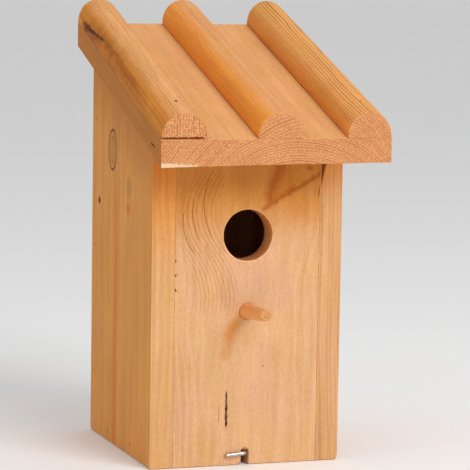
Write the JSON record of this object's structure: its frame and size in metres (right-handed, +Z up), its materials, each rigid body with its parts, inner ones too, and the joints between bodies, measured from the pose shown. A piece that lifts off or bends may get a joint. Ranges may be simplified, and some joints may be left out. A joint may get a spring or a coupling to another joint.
{
  "type": "birdhouse",
  "caption": "Wooden nest box with a sloping battened roof, round entrance, perch and a front door that swings up on two nails and is held by a turning hook.",
  "frame": {"origin": "middle of the bottom of the bounding box, on the surface the box stands on", "axes": "+Z up; the door faces -Y; +X is to the right of someone facing the door"},
  "size_m": [0.147, 0.189, 0.2899],
  "materials": {
    "door_wood": "light honey stain, satin",
    "side_wood": "honey stain, satin",
    "roof_wood": "light honey stain, satin",
    "batten_wood": "orange honey stain, satin",
    "perch_wood": "orange honey stain, satin",
    "zinc": "bright zinc plated",
    "nail_steel": "plain bright steel"
  },
  "bodies": {
    "box": {"roof_board": "roof_wood", "roof_batten_left": "batten_wood", "roof_batten_middle": "batten_wood", "roof_batten_right": "batten_wood", "side_left": "side_wood", "side_right": "side_wood", "back_board": "side_wood", "floor_board": "side_wood", "hanger_strip": "zinc", "hanger_tack_1": "nail_steel", "hanger_tack_2": "nail_steel", "pivot_nail_left": "nail_steel", "pivot_nail_right": "nail_steel", "back_nail_left_1": "nail_steel", "back_nail_left_2": "nail_steel", "back_nail_left_3": "nail_steel", "back_nail_right_1": "nail_steel", "back_nail_right_2": "nail_steel", "back_nail_right_3": "nail_steel", "floor_nail_left_1": "nail_steel", "floor_nail_left_2": "nail_steel", "floor_nail_right_1": "nail_steel", "floor_nail_right_2": "nail_steel", "floor_nail_rear_1": "nail_steel", "floor_nail_rear_2": "nail_steel", "roof_nail_left_1": "nail_steel", "roof_nail_left_2": "nail_steel", "roof_nail_right_1": "nail_steel", "roof_nail_right_2": "nail_steel", "roof_nail_rear_1": "nail_steel", "roof_nail_rear_2": "nail_steel", "batten_nail_left_1": "nail_steel", "batten_nail_left_2": "nail_steel", "batten_nail_middle_1": "nail_steel", "batten_nail_middle_2": "nail_steel", "batten_nail_right_1": "nail_steel", "batten_nail_right_2": "nail_steel"},
    "door": {"front_door": "door_wood", "perch": "perch_wood"},
    "hook": {"latch_hook": "zinc"}
  },
  "joints": [
    {"name": "door_swing", "type": "hinge", "parent": "box", "child": "door", "pos_m": [0, -0.035, 0.2005], "axis": [-1, 0, 0], "range_deg": [0, 73]},
    {"name": "hook_turn", "type": "hinge", "parent": "box", "child": "hook", "pos_m": [0, -0.0425, 0.0075], "axis": [0, -1, 0], "range_deg": [0, 86]}
  ]
}
